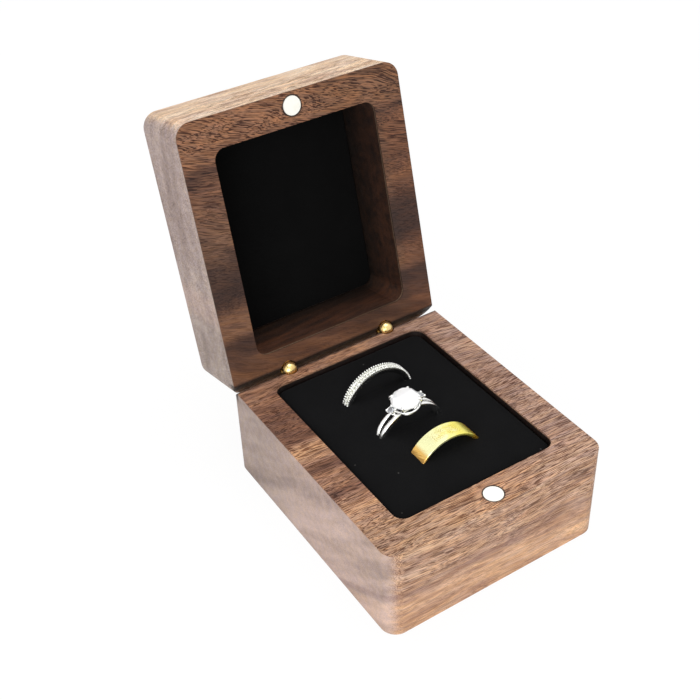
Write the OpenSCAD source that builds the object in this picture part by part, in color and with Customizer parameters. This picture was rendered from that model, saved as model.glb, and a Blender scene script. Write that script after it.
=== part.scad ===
// Hinged wooden ring box, shown open.
// Base and lid are each milled from one block. Two single-pin barrel hinges
// join them, two disc magnets hold the lid shut, and a velvet covered foam pad
// grips three rings in slots. Millimetres, +Z up. The underside of the base
// lies on z = 0 with its middle at the origin, and the box opens to -Y.

/* [Box] */
// Outside width, along the hinge
box_width = 62; // [50:0.5:90]
// Outside depth, front to back
box_depth = 72.5; // [60:0.5:100]
// Height of the base
base_height = 26.5; // [24:0.5:40]
// Height of the lid
lid_height = 20.1; // [18:0.1:30]
// Radius of the four upright corners
corner_radius = 4; // [1:0.5:8]
// Size of the 45 degree chamfer along the hinge side of both rims
back_chamfer = 4.1; // [3.5:0.1:6]
// How far the lid stands open, from shut
lid_open_angle = 104.2; // [0:0.1:104.2]

/* [Recesses] */
// Wall left at either side of the base and lid recesses
side_wall = 8.3; // [6:0.1:12]
// Wall left at the front of both recesses
front_wall = 8.2; // [7:0.1:12]
// Wall left at the back of the base recess
base_back_wall = 7.6; // [7:0.1:12]
// Wall left at the back of the lid recess
lid_back_wall = 9.3; // [7:0.1:12]
// Depth of the base recess
base_recess_depth = 19.5; // [17:0.1:22]
// Depth of the lid recess
lid_recess_depth = 17.2; // [16:0.1:18]
// Radius of the recess corners
recess_corner_radius = 3; // [2:0.1:5]

/* [Hinges] */
// Distance between the middles of the two hinges
hinge_spacing = 30.2; // [16:0.1:44]
// Diameter of a hinge barrel and of its round knuckle
barrel_diameter = 4.2; // [4:0.1:4.8]
// Length of a barrel, from the pin to its far end
barrel_length = 10.5; // [7:0.5:14]
// How far the pins stand behind the rims' hinge edge
pin_offset = 1.03; // [1:0.01:1.1]
// Diameter of a hinge pin
pin_diameter = 1.2; // [1:0.1:1.4]
// Thickness of the tongue on a lid barrel
tongue_thickness = 1.9; // [1.6:0.1:2.1]

/* [Magnets] */
// Diameter of the disc magnets
magnet_diameter = 4.8; // [3:0.2:5.4]
// Thickness of the disc magnets
magnet_thickness = 3; // [1.5:0.5:5]
// From the front face to the middle of a magnet
magnet_inset = 3.5; // [3.2:0.1:4.8]

/* [Pad and lining] */
// How far the pad's top lies below the base rim
pad_below_rim = 1.2; // [0.5:0.1:3]
// Thickness of the velvet on the pad
pad_velvet_thickness = 0.7; // [0.4:0.1:1.2]
// Thickness of the card under the pad
pad_card_thickness = 1.2; // [0.8:0.1:2]
// Thickness of the velvet in the lid
lining_velvet_thickness = 0.6; // [0.4:0.1:1]
// Thickness of the card that the lid velvet is glued to
lining_card_thickness = 0.6; // [0.4:0.1:1]

/* [Stone-set band] */
// Outer radius of the stone-set band
pave_radius = 10; // [9:0.1:11]
// Width of the stone-set band
pave_width = 2.3; // [1.8:0.1:3]
// Thickness of the stone-set band
pave_thickness = 1.5; // [1.2:0.1:2]
// Diameter of its small stones
pave_stone_diameter = 0.84; // [0.6:0.01:0.9]
// Number of stones in each of its two rows
pave_stones_per_row = 31; // [8:1:34]
// Place of the band behind the pad's middle
pave_place = 13.8; // [13:0.1:17]
// Place of the band to the side of the pad's middle
pave_side = -0.4; // [-5:0.1:5]
// Depth of the band's centre below the pad's top
pave_sunk = 2.9; // [1:0.1:4]

/* [Solitaire ring] */
// Outer radius of the solitaire ring
solitaire_radius = 9.8; // [9:0.1:11]
// Width of the undivided part of the shank
solitaire_width = 2; // [1.6:0.1:3]
// Thickness of the shank
solitaire_thickness = 1.6; // [1.2:0.1:1.8]
// Diameter of the large stone
centre_stone_diameter = 7.1; // [5:0.1:7.6]
// Diameter of the stone at either side of it
side_stone_diameter = 1.9; // [1.4:0.1:2.2]
// Turn of the stone away from straight up
solitaire_turn = 5; // [-20:1:20]
// Place of the ring behind the pad's middle
solitaire_place = -1.5; // [-2:0.1:2]
// Place of the ring to the side of the pad's middle
solitaire_side = -1.3; // [-5:0.1:5]
// Depth of the ring's centre below the pad's top
solitaire_sunk = 3; // [1:0.1:4]

/* [Plain gold ring] */
// Outer radius of the plain ring
gold_radius = 9.9; // [9:0.1:11]
// Width of the plain ring
gold_width = 4.7; // [2:0.1:6]
// Thickness of the plain ring
gold_thickness = 1.3; // [1:0.1:2]
// Place of the ring in front of the pad's middle
gold_place = 12.6; // [12:0.1:15]
// Place of the ring to the side of the pad's middle
gold_side = 1.5; // [-5:0.1:5]
// Depth of the ring's centre below the pad's top
gold_sunk = 5.4; // [1:0.1:6]

/* [Hidden] */
$fn = 64;

// Clearances
glue_gap = 0.12;          // round a magnet
pad_gap = 0.2;            // between pad and recess wall
lining_gap = 0.3;         // between lining and recess wall
skin_gap = 0.1;           // between foam and the velvet round it
bore_gap = 0.03;          // round a barrel glued into its bore
shoulder_drop = 0.1;      // of a barrel's shoulders below the rim
slot_gap = 0.15;          // between a ring and its slot
knuckle_gap = 0.3;        // round a hinge knuckle
leaf_gap = 0.08;          // at either side of a hinge tongue
pin_gap = 0.05;           // round a pin where it turns
pin_seat = 0.005;         // round a pin where it is pressed in
stone_gap = 0.05;         // round a set stone
magnet_sunk = 0.03;       // below the rim

// Places
rim_z = base_height;
back_y = box_depth / 2;
front_y = -box_depth / 2;
hinge_edge_y = back_y - back_chamfer;
pin_y = hinge_edge_y + pin_offset;
magnet_y = front_y + magnet_inset;
recess_width = box_width - 2 * side_wall;
recess_front_y = front_y + front_wall;
pad_width = recess_width - 2 * pad_gap;
pad_depth = box_depth - front_wall - base_back_wall - 2 * pad_gap;
pad_middle_y = recess_front_y + pad_gap + pad_depth / 2;
pad_floor_z = rim_z - base_recess_depth;
pad_top_z = rim_z - pad_below_rim;
lining_width = recess_width - 2 * lining_gap;
lining_depth = box_depth - front_wall - lid_back_wall - 2 * lining_gap;
lining_middle_y = recess_front_y + lining_gap + lining_depth / 2;
knuckle_r = barrel_diameter / 2;
relief_r = knuckle_r + knuckle_gap;
cheek_x = tongue_thickness / 2 + leaf_gap;
pin_length = 2 * sqrt(knuckle_r * knuckle_r - pin_diameter * pin_diameter / 4) - 0.1;

// Places of the three rings
pave_y = pad_middle_y + pave_place;
pave_z = pad_top_z - pave_sunk;
solitaire_y = pad_middle_y + solitaire_place;
solitaire_z = pad_top_z - solitaire_sunk;
gold_y = pad_middle_y - gold_place;
gold_z = pad_top_z - gold_sunk;

// Stone-set band
pave_seat_r = pave_radius - 0.42;
pave_row_y = pave_stone_diameter / 2 + stone_gap / 2;
pave_channel = 4 * pave_row_y + stone_gap;
pave_pitch = 180 / pave_stones_per_row;
pave_start = -(pave_stones_per_row - 0.5) * pave_pitch / 2;
pave_channel_foot = -0.8;  // how far the channel runs down past the middle

// Solitaire ring
split_z = 2.2;
strand_r = 0.6;            // half a strand's width
strand_half = 0.8;         // half its height
strand_edge = 0.25;        // its broken corners
strand_ring_r = solitaire_radius - strand_half;
strand_spread = 1.1;
strand_lean = strand_spread / (strand_ring_r - split_z);
strand_tilt = atan(strand_lean);
stone_r = centre_stone_diameter / 2;
girdle_z = solitaire_radius + 1.8;
crown_h = 1.4;
pavilion_h = 2;
girdle_h = 0.15;
table_r = 0.56 * stone_r;
prong_r = 0.3;
prong_ring_r = stone_r + prong_r + stone_gap;
prong_top_z = girdle_z + 0.55;
prong_bend_z = girdle_z - 0.3;
prong_bend_r = 0.33;
claw_r = 0.42;
foot_rail_z = strand_ring_r - 0.2;
foot_rail_r = 2.4;
foot_wire_r = 0.4;
prong_lean = atan((prong_ring_r - foot_rail_r) / (prong_bend_z - foot_rail_z));
prong_run = (prong_bend_z - foot_rail_z) / cos(prong_lean);
rail_z = girdle_z - 1.2;
rail_wire_r = 0.3;
rail_r = foot_rail_r + (rail_z - foot_rail_z) * tan(prong_lean);
side_r = side_stone_diameter / 2;
side_turn = 25;
side_cup_r = side_r + 0.35;
side_foot_z = solitaire_radius - 1.2;
side_top_z = solitaire_radius + 0.5;
side_seat_depth = 0.5;
side_bridge_r = 0.45;
side_bridge_z = strand_ring_r - 0.2;
side_bridge_length = 2 * strand_spread;
solitaire_dip = solitaire_sunk + solitaire_radius * sin(abs(solitaire_turn));
solitaire_slot_width = max(solitaire_width,
    2 * strand_r + 2 * strand_lean * (solitaire_dip - split_z));

// Rectangle with rounded corners about the origin
module rounded_rect(width, depth, radius)
{
    square([width - 2 * radius, depth], center = true);
    square([width, depth - 2 * radius], center = true);
    for (x = [-1, 1], y = [-1, 1])
        translate([x * (width / 2 - radius), y * (depth / 2 - radius)])
            circle(radius);
}

// Upright slab with rounded corners, standing on z = 0
module rounded_slab(width, depth, height, radius)
{
    linear_extrude(height)
        rounded_rect(width, depth, radius);
}

// Bar of the whole width whose cross-section is given as [y, z] points
module cross_bar(width, points)
{
    translate([-width / 2, 0, 0])
        rotate([90, 0, 90])
            linear_extrude(width)
                polygon(points);
}

// What the chamfer takes off: all above a 45 degree line that falls towards
// the back from the point [y, z]
module chamfer_cut(y, z)
{
    reach = back_chamfer + 3;
    cross_bar(box_width + 2, [
        [y - 1, z + 1],
        [y + reach, z + 1],
        [y + reach, z - reach]
    ]);
}

// One half of the box with its rim on z = 0 and its body below, hollowed
// and bored for the hinges and the magnet
module wooden_half(height, recess_depth, back_wall)
{
    recess_size = box_depth - front_wall - back_wall;
    difference() {
        translate([0, 0, -height])
            rounded_slab(box_width, box_depth, height, corner_radius);
        chamfer_cut(hinge_edge_y, 0);
        translate([0, recess_front_y + recess_size / 2, -recess_depth])
            rounded_slab(recess_width, recess_size, recess_depth + 1,
                recess_corner_radius);
        translate([0, magnet_y, -magnet_sunk - magnet_thickness])
            cylinder(h = magnet_thickness + 1, r = magnet_diameter / 2 + glue_gap);
        for (side = [-1, 1])
            translate([side * hinge_spacing / 2, pin_y, 0]) {
                translate([0, 0, -barrel_length])
                    cylinder(h = barrel_length + 1, r = knuckle_r + bore_gap);
                sphere(relief_r);
            }
    }
}

// Disc magnet just below a rim at z = 0
module magnet()
{
    translate([0, magnet_y, -magnet_sunk - magnet_thickness])
        cylinder(h = magnet_thickness, r = magnet_diameter / 2);
}

// Barrel with a ball knuckle at its pin, which is at the origin
module barrel_blank()
{
    difference() {
        translate([0, 0, -barrel_length])
            cylinder(h = barrel_length - shoulder_drop, r = knuckle_r);
        chamfer_cut(-pin_offset, -shoulder_drop);
    }
    sphere(knuckle_r);
}

// Disc about the pin, as wide as given, that clears the knuckle
module knuckle_sweep(width)
{
    rotate([0, 90, 0])
        cylinder(h = width, r = relief_r, center = true);
}

// Forked barrel of the base, with its two cheeks bored for the pin
module forked_barrel()
{
    difference() {
        barrel_blank();
        knuckle_sweep(2 * cheek_x);
        rotate([0, 90, 0])
            cylinder(h = barrel_diameter + 1, r = pin_diameter / 2 + pin_seat,
                center = true);
    }
}

// Tongued barrel of the lid, drawn below its rim like the base's
module tongued_barrel()
{
    difference() {
        barrel_blank();
        for (side = [-1, 1])
            translate([side * (tongue_thickness / 2 + barrel_diameter / 2), 0, 0])
                knuckle_sweep(barrel_diameter);
        rotate([0, 90, 0])
            cylinder(h = barrel_diameter, r = pin_diameter / 2 + pin_gap,
                center = true);
    }
}

// Pin through one hinge
module hinge_pin()
{
    rotate([0, 90, 0])
        cylinder(h = pin_length, r = pin_diameter / 2, center = true);
}

// Moves what is drawn under a rim at z = 0 to its place in the base
module in_base()
{
    translate([0, 0, rim_z])
        children();
}

// Turns what is drawn under a rim at z = 0 over onto the base and then back
// about the hinge pins, to its place in the open lid
module in_lid()
{
    translate([0, pin_y, rim_z])
        rotate([-lid_open_angle, 0, 0])
            translate([0, -pin_y, 0])
                mirror([0, 0, 1])
                    children();
}

// One hinge's place along the pin axis, -1 for left and 1 for right
module at_hinge(side)
{
    translate([side * hinge_spacing / 2, pin_y, 0])
        children();
}

module base_body()
{
    color("#6b4431")
        in_base()
            wooden_half(base_height, base_recess_depth, base_back_wall);
}

module lid_body()
{
    color("#75492f")
        in_lid()
            wooden_half(lid_height, lid_recess_depth, lid_back_wall);
}

module base_magnet()
{
    color("#d9dadb")
        in_base()
            magnet();
}

module lid_magnet()
{
    color("#d9dadb")
        in_lid()
            magnet();
}

module base_barrel_left()
{
    color("#d0a23c")
        in_base()
            at_hinge(-1)
                forked_barrel();
}

module base_barrel_right()
{
    color("#d0a23c")
        in_base()
            at_hinge(1)
                forked_barrel();
}

module lid_barrel_left()
{
    color("#e0b450")
        in_lid()
            at_hinge(-1)
                tongued_barrel();
}

module lid_barrel_right()
{
    color("#e0b450")
        in_lid()
            at_hinge(1)
                tongued_barrel();
}

module hinge_pin_left()
{
    color("#a67c28")
        in_base()
            at_hinge(-1)
                hinge_pin();
}

module hinge_pin_right()
{
    color("#a67c28")
        in_base()
            at_hinge(1)
                hinge_pin();
}

// Upright slot for a ring that stands across it, with a half round bottom
module ring_slot(radius, width)
{
    slot_r = radius + slot_gap;
    slot_w = width + 2 * slot_gap;
    rotate([90, 0, 0])
        cylinder(h = slot_w, r = slot_r, center = true);
    translate([-slot_r, -slot_w / 2, 0])
        cube([2 * slot_r, slot_w, base_recess_depth]);
}

// The three slots of the pad, in place
module ring_slots()
{
    translate([pave_side, pave_y, pave_z])
        ring_slot(pave_radius, pave_width);
    translate([solitaire_side, solitaire_y, solitaire_z])
        ring_slot(solitaire_radius, solitaire_slot_width);
    translate([gold_side, gold_y, gold_z])
        ring_slot(gold_radius, gold_width);
}

module pad_card()
{
    color("#8b8378")
        translate([0, pad_middle_y, pad_floor_z])
            rounded_slab(pad_width, pad_depth, pad_card_thickness,
                recess_corner_radius);
}

module pad_foam()
{
    foam_height = pad_top_z - pad_velvet_thickness - pad_floor_z - pad_card_thickness;
    color("#4a4a4c")
        difference() {
            translate([0, pad_middle_y, pad_floor_z + pad_card_thickness])
                rounded_slab(pad_width - 2 * (pad_velvet_thickness + skin_gap),
                    pad_depth - 2 * (pad_velvet_thickness + skin_gap), foam_height,
                    recess_corner_radius - pad_velvet_thickness);
            ring_slots();
        }
}

module pad_velvet()
{
    hem_z = pad_floor_z + pad_card_thickness;
    color("#17171a")
        difference() {
            translate([0, pad_middle_y, hem_z])
                rounded_slab(pad_width, pad_depth, pad_top_z - hem_z,
                    recess_corner_radius);
            translate([0, pad_middle_y, hem_z - 1])
                rounded_slab(pad_width - 2 * pad_velvet_thickness,
                    pad_depth - 2 * pad_velvet_thickness,
                    pad_top_z - pad_velvet_thickness - hem_z + 1,
                    recess_corner_radius - pad_velvet_thickness);
            ring_slots();
        }
}

module lining_card()
{
    color("#8b8378")
        in_lid()
            translate([0, lining_middle_y, -lid_recess_depth])
                rounded_slab(lining_width, lining_depth, lining_card_thickness,
                    recess_corner_radius);
}

module lining_velvet()
{
    color("#17171a")
        in_lid()
            translate([0, lining_middle_y, lining_card_thickness - lid_recess_depth])
                rounded_slab(lining_width, lining_depth, lining_velvet_thickness,
                    recess_corner_radius);
}

// Flat ring about the Y axis, between two radii
module hoop(inner, outer, width)
{
    rotate([90, 0, 0])
        difference() {
            cylinder(h = width, r = outer, center = true);
            cylinder(h = width + 1, r = inner, center = true);
        }
}

// Brilliant cut stone with its girdle on z = 0
module stone(radius, table, crown, pavilion, girdle)
{
    translate([0, 0, girdle / 2])
        cylinder(h = crown, r1 = radius, r2 = table);
    translate([0, 0, -girdle / 2])
        cylinder(h = girdle, r = radius);
    translate([0, 0, -girdle / 2 - pavilion])
        cylinder(h = pavilion, r1 = 0.08 * radius, r2 = radius);
}

module pave_band()
{
    color("#c9cbcc")
        translate([pave_side, pave_y, pave_z])
            difference() {
                hoop(pave_radius - pave_thickness, pave_radius, pave_width);
                intersection() {
                    hoop(pave_seat_r, pave_radius + 1, pave_channel);
                    translate([0, 0, pave_radius + pave_channel_foot])
                        cube([3 * pave_radius, 3 * pave_radius, 2 * pave_radius],
                            center = true);
                }
            }
}

module pave_stones()
{
    small_r = pave_stone_diameter / 2;
    color("#eef2f5")
        translate([pave_side, pave_y, pave_z])
            for (row = [-1, 1], i = [0 : pave_stones_per_row - 1])
                rotate([0, pave_start + (i + (row + 1) / 4) * pave_pitch, 0])
                    translate([0, row * pave_row_y, pave_seat_r + stone_gap])
                        cylinder(h = pave_radius - pave_seat_r, r1 = small_r,
                            r2 = 0.7 * small_r);
}

// One of the two strands that the shank divides into, leaning to one side
module strand(side)
{
    difference() {
        translate([0, 0, split_z])
            rotate([-side * strand_tilt, 0, 0])
                translate([0, 0, -split_z])
                    rotate([90, 0, 0])
                        rotate_extrude()
                            translate([strand_ring_r, 0])
                                polygon([
                                    [-strand_half, strand_edge - strand_r],
                                    [strand_edge - strand_half, -strand_r],
                                    [strand_half - strand_edge, -strand_r],
                                    [strand_half, strand_edge - strand_r],
                                    [strand_half, strand_r - strand_edge],
                                    [strand_half - strand_edge, strand_r],
                                    [strand_edge - strand_half, strand_r],
                                    [-strand_half, strand_r - strand_edge]
                                ]);
        translate([-2 * solitaire_radius, -solitaire_radius, split_z - 3 * solitaire_radius])
            cube([4 * solitaire_radius, 2 * solitaire_radius, 3 * solitaire_radius]);
    }
}

// Round wire bent into a ring
module rail(ring_r, wire_r)
{
    rotate_extrude()
        translate([ring_r, 0])
            circle(wire_r);
}

// Prong that leans out from the foot rail and then runs up beside the girdle,
// with a claw over the crown
module prong()
{
    translate([foot_rail_r, 0, foot_rail_z])
        rotate([0, prong_lean, 0])
            cylinder(h = prong_run, r = prong_r);
    translate([prong_ring_r, 0, prong_bend_z])
        sphere(prong_bend_r);
    translate([prong_ring_r, 0, prong_bend_z])
        cylinder(h = prong_top_z - prong_bend_z, r = prong_r);
    translate([prong_ring_r - 0.1, 0, prong_top_z])
        sphere(claw_r);
}

// Cup of a side stone, carried by a bridge between the two strands
module side_cup()
{
    difference() {
        translate([0, 0, side_foot_z])
            cylinder(h = side_top_z - side_foot_z, r = side_cup_r);
        translate([0, 0, side_top_z - side_seat_depth])
            cylinder(h = side_seat_depth + 1, r = side_r + stone_gap);
    }
    translate([0, 0, side_bridge_z])
        rotate([90, 0, 0])
            cylinder(h = side_bridge_length, r = side_bridge_r, center = true);
}

// Everything about the head, drawn with the stone straight up
module solitaire_head()
{
    translate([0, 0, foot_rail_z])
        rail(foot_rail_r, foot_wire_r);
    translate([0, 0, rail_z])
        rail(rail_r, rail_wire_r);
    for (turn = [45 : 90 : 315])
        rotate([0, 0, turn])
            prong();
    for (side = [-1, 1])
        rotate([0, side * side_turn, 0])
            side_cup();
}

module solitaire_shank()
{
    color("#c9cbcc")
        translate([solitaire_side, solitaire_y, solitaire_z])
            rotate([0, -solitaire_turn, 0]) {
                difference() {
                    hoop(solitaire_radius - solitaire_thickness, solitaire_radius,
                        solitaire_width);
                    translate([0, 0, split_z + 2 * solitaire_radius + 0.6])
                        cube(4 * solitaire_radius, center = true);
                }
                strand(-1);
                strand(1);
                solitaire_head();
            }
}

module centre_stone()
{
    color("#f4f8fb")
        translate([solitaire_side, solitaire_y, solitaire_z])
            rotate([0, -solitaire_turn, 0])
                translate([0, 0, girdle_z])
                    stone(stone_r, table_r, crown_h, pavilion_h, girdle_h);
}

module side_stones()
{
    color("#f4f8fb")
        translate([solitaire_side, solitaire_y, solitaire_z])
            rotate([0, -solitaire_turn, 0])
                for (side = [-1, 1])
                    rotate([0, side * side_turn, 0])
                        translate([0, 0, side_top_z - side_seat_depth + stone_gap])
                            cylinder(h = side_seat_depth + 0.2, r1 = side_r,
                                r2 = 0.6 * side_r);
}

module gold_band()
{
    edge = 0.3;
    half = gold_width / 2;
    inner = gold_radius - gold_thickness;
    color("#e2b13c")
        translate([gold_side, gold_y, gold_z])
            rotate([90, 0, 0])
                rotate_extrude()
                    polygon([
                        [inner + edge, -half],
                        [gold_radius - edge, -half],
                        [gold_radius, edge - half],
                        [gold_radius, half - edge],
                        [gold_radius - edge, half],
                        [inner + edge, half],
                        [inner, half - edge],
                        [inner, edge - half]
                    ]);
}

base_body();
lid_body();
pad_card();
pad_foam();
pad_velvet();
lining_card();
lining_velvet();
base_magnet();
lid_magnet();
base_barrel_left();
base_barrel_right();
lid_barrel_left();
lid_barrel_right();
hinge_pin_left();
hinge_pin_right();
pave_band();
pave_stones();
solitaire_shank();
centre_stone();
side_stones();
gold_band();
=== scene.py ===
import math
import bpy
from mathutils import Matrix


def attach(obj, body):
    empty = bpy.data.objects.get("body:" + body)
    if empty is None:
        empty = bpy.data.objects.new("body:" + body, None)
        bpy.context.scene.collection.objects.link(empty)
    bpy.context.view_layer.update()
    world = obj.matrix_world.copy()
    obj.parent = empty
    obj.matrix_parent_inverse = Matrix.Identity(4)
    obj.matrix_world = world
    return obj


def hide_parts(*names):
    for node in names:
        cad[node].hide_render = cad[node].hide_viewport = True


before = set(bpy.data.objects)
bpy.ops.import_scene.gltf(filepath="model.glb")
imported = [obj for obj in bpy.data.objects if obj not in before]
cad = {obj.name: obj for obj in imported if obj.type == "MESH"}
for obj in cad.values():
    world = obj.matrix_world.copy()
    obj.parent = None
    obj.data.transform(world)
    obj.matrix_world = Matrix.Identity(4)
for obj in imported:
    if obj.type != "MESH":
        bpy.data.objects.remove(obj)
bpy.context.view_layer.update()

from types import SimpleNamespace

import bmesh
import bpy
import numpy as np

MM = 0.001
scene = bpy.context.scene
scene.view_settings.view_transform = "Standard"

# ---------------------------------------------------------------------------
# The view: the open box from its front left corner and from above, near
# enough for the base to look larger than the lid.
camera = bpy.data.objects.new("camera", bpy.data.cameras.new("camera"))
camera.data.lens = 60.249
camera.data.sensor_width = 36
camera.data.clip_start = 0.01
camera.location = (-0.125741, -0.178032, 0.216994)
camera.rotation_euler = (math.radians(52.0956), math.radians(1.812), math.radians(-32.9093))
scene.collection.objects.link(camera)
scene.camera = camera

# ---------------------------------------------------------------------------
# The base: one block of walnut with its grain along the hinge line, milled
# hollow, sanded, its edges broken by hand with fine paper, and wiped with oil.


class Wire:
    """A node's output that sums can be written with: each operator adds one Math node."""

    def __init__(self, finish, socket):
        self.finish, self.socket = finish, socket

    def math(self, operation, *others):
        return self.finish.node("Math", {"operation": operation}, *others)

    def __add__(self, other):
        return self.math("ADD", self, other)

    def __sub__(self, other):
        return self.math("SUBTRACT", self, other)

    def __mul__(self, other):
        return self.math("MULTIPLY", self, other)

    def __truediv__(self, other):
        return self.math("DIVIDE", self, other)

    def __pow__(self, other):
        return self.math("POWER", self, other)

    def __rsub__(self, other):
        return self.math("SUBTRACT", other, self)

    def __abs__(self):
        return self.math("ABSOLUTE", self)

    __radd__, __rmul__ = __add__, __mul__


class Finish:
    """A material, filled one node at a time."""

    def __init__(self, name):
        self.material = bpy.data.materials.new(name)
        self.material.use_nodes = True
        self.tree = self.material.node_tree
        self.tree.nodes.clear()

    def node(self, kind, settings=None, *values, out=0, **named):
        """One node: its type, its settings, then its sockets' values or links, by place or by name."""
        made = self.tree.nodes.new("ShaderNode" + kind)
        for key, value in (settings or {}).items():
            if key == "stops":
                ramp = made.color_ramp
                while len(ramp.elements) < len(value):
                    ramp.elements.new(0.5)
                for element, (place, colour) in zip(ramp.elements, value):
                    element.position = place
                    element.color = (*colour, 1)
            else:
                setattr(made, key, value)
        sockets = list(zip(made.inputs, values))
        sockets += [(made.inputs[key.replace("_", " ")], value) for key, value in named.items()]
        for socket, value in sockets:
            if isinstance(value, Wire):
                self.tree.links.new(value.socket, socket)
            elif value is not None:
                socket.default_value = value
        return Wire(self, made.outputs[out])

    def mix(self, share, first, second, blend="MIX"):
        """A colour between two others."""
        made = self.tree.nodes.new("ShaderNodeMix")
        made.data_type, made.blend_type = "RGBA", blend
        for socket, value in ((made.inputs[0], share), (made.inputs[6], first), (made.inputs[7], second)):
            if isinstance(value, Wire):
                self.tree.links.new(value.socket, socket)
            else:
                socket.default_value = value if isinstance(value, (int, float)) else (*value, 1)
        return Wire(self, made.outputs[2])

    def between(self, value, low, high):
        """0 below low, 1 above high, and a smooth rise between them."""
        return self.node("MapRange", {"interpolation_type": "SMOOTHSTEP"}, Value=value, From_Min=low, From_Max=high)

    def below(self, value, low, high):
        """1 below low, 0 above high, and a smooth fall between them."""
        return 1 - self.between(value, low, high)

    def split(self, vector):
        """The three parts of a vector or a colour."""
        made = self.tree.nodes.new("ShaderNodeSeparateXYZ")
        self.tree.links.new(vector.socket, made.inputs[0])
        return [Wire(self, socket) for socket in made.outputs]

    def noise(self, x, y, z, detail=2.0, rough=0.5, out=0):
        """Cloudy noise from 0 to 1 whose grain is one unit of x, y and z."""
        at = self.node("CombineXYZ", None, x, y, z)
        return self.node("TexNoise", None, Vector=at, Scale=1.0, Detail=detail, Roughness=rough, out=out)

    def place(self, shift=(0, 0, 0), turn=(0, 0, 0)):
        """The place on the object, in millimetres, turned and then shifted, as x, y and z."""
        here = self.node("TexCoord", out="Object")
        return self.split(self.node("Mapping", None, here, shift, turn, (1 / MM, 1 / MM, 1 / MM)))

    def sine(self, value):
        """The sine of an angle in radians."""
        return self.node("Math", {"operation": "SINE"}, value)

    def done(self, **sockets):
        """Ends the material in one Principled shader."""
        shader = self.node("BsdfPrincipled", None, **sockets)
        self.node_output(shader)
        return self.material

    def node_output(self, shader):
        """Ends the material in any shader."""
        output = self.tree.nodes.new("ShaderNodeOutputMaterial")
        self.tree.links.new(shader.socket, output.inputs[0])


def rgb(red, green, blue):
    """A colour given as 0 to 255, as light."""
    share = np.array((red, green, blue)) / 255
    return tuple(np.where(share <= 0.04045, share / 12.92, ((share + 0.055) / 1.055) ** 2.4).tolist())


def greys(*stops):
    """A ramp of greys from pairs of a place and a brightness."""
    return [(place, (level, level, level)) for place, level in stops]


rim_z, front_y, magnet_y = 26.5, -36, -32.75


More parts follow.
